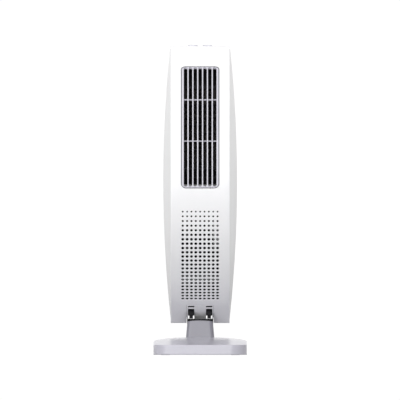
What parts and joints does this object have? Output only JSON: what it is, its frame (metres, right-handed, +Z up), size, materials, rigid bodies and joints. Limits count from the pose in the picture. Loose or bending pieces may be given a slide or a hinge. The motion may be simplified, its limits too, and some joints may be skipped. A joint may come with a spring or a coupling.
{
  "type": "tower space heater",
  "caption": "Upright ceramic heater with a bowed half-moon body, slotted outlet, dotted intake, tilting neck hinge and domed base.",
  "frame": {"origin": "on the floor, under the middle of the object's box", "axes": "+Z up, +X to the right seen from the front, -Y is the way the outlet faces"},
  "size_m": [0.1868, 0.235, 0.62],
  "materials": {
    "white_shell": "satin moulded white",
    "lilac_grey": "satin lilac-grey paint",
    "grille_grey": "satin grey",
    "black_plastic": "fine texture",
    "rubber_foot": "matte",
    "steel": "zinc plated",
    "aluminium": "rolled",
    "circuit_board": "solder mask",
    "filter_foam": "open mesh"
  },
  "bodies": {
    "stand": {"neck_shell": "lilac_grey", "neck_cap": "black_plastic", "base_cover": "lilac_grey", "base_plate": "black_plastic", "ballast_plate": "steel", "tip_switch": "black_plastic", "cord_gland": "black_plastic", "hinge_arm_left": "black_plastic", "hinge_arm_right": "black_plastic", "foot_1": "rubber_foot", "foot_2": "rubber_foot", "foot_3": "rubber_foot", "foot_4": "rubber_foot", "base_screw_1": "steel", "base_screw_2": "steel", "base_screw_3": "steel", "base_screw_4": "steel"},
    "body": {"front_panel": "white_shell", "rear_shell": "white_shell", "top_cap": "white_shell", "rear_intake_grille": "white_shell", "pivot_bracket": "white_shell", "outlet_grille": "grille_grey", "outlet_bezel": "grille_grey", "inner_louvre": "black_plastic", "blower_housing": "black_plastic", "core_frame": "black_plastic", "air_duct": "black_plastic", "motor": "steel", "hinge_pin_left": "steel", "hinge_pin_right": "steel", "rear_screw_1": "steel", "rear_screw_2": "steel", "rear_screw_3": "steel", "rear_screw_4": "steel", "heating_core": "aluminium", "thermal_cutout": "aluminium", "control_board": "circuit_board", "power_board": "circuit_board", "dust_filter": "filter_foam"},
    "blower": {"blower_wheel": "black_plastic", "motor_shaft": "steel"},
    "power_button": {"button_power": "lilac_grey"},
    "mode_button": {"button_mode": "lilac_grey"}
  },
  "joints": [
    {"name": "body_tilt", "type": "hinge", "parent": "stand", "child": "body", "pos_m": [0, 0.0555, 0.094], "axis": [1, 0, 0], "range_deg": [-8, 5]},
    {"name": "blower_spin", "type": "hinge", "parent": "body", "child": "blower", "pos_m": [0, 0.0045, 0.24], "axis": [1, 0, 0], "continuous": true},
    {"name": "power_press", "type": "slide", "parent": "body", "child": "power_button", "axis": [0, 0, -1], "range_m": [0, 0.0015], "stiffness_N_per_m": 600, "springref_m": -0.0005},
    {"name": "mode_press", "type": "slide", "parent": "body", "child": "mode_button", "axis": [0, 0, -1], "range_m": [0, 0.0015], "stiffness_N_per_m": 600, "springref_m": -0.0005}
  ]
}
